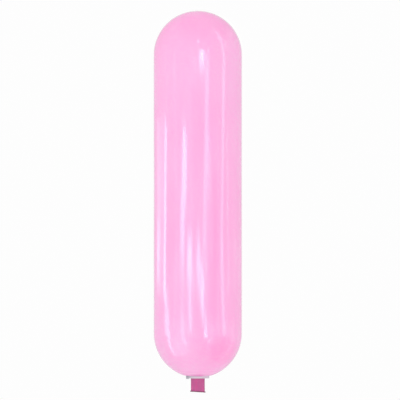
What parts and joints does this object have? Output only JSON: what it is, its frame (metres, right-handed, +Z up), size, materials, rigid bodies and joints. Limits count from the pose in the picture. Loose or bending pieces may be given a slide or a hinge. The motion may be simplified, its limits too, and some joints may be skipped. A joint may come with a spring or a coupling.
{
  "type": "latex balloon",
  "caption": "Long cylindrical latex balloon with round ends, inflated, its flat neck closed by a hinged bar clip with a latch.",
  "frame": {"origin": "middle of the nip, where the clip squeezes the neck flat", "axes": "+Z up the balloon towards its crown, +X along the clip from its hinge to its latch, -Y the side that the clip opens to"},
  "size_m": [0.25, 0.25, 1.0819],
  "materials": {
    "latex_film": "gloss",
    "latex_neck": "satin",
    "clip_plastic": "gloss",
    "clip_pin": "satin"
  },
  "bodies": {
    "balloon": {"envelope": "latex_film", "neck": "latex_neck", "clip_back_jaw": "clip_plastic", "hinge_pin": "clip_pin"},
    "clip_jaw": {"clip_front_jaw": "clip_plastic"},
    "tail": {"neck_tail": "latex_neck", "mouth_bead": "latex_neck"}
  },
  "joints": [
    {"name": "clip_hinge", "type": "hinge", "parent": "balloon", "child": "clip_jaw", "pos_m": [-0.0295, 0, 0], "axis": [0, 0, -1], "range_deg": [0, 110]},
    {"name": "tail_bend", "type": "hinge", "parent": "balloon", "child": "tail", "pos_m": [0, 0, -0.0058], "axis": [1, 0, 0], "range_deg": [-80, 80]}
  ]
}
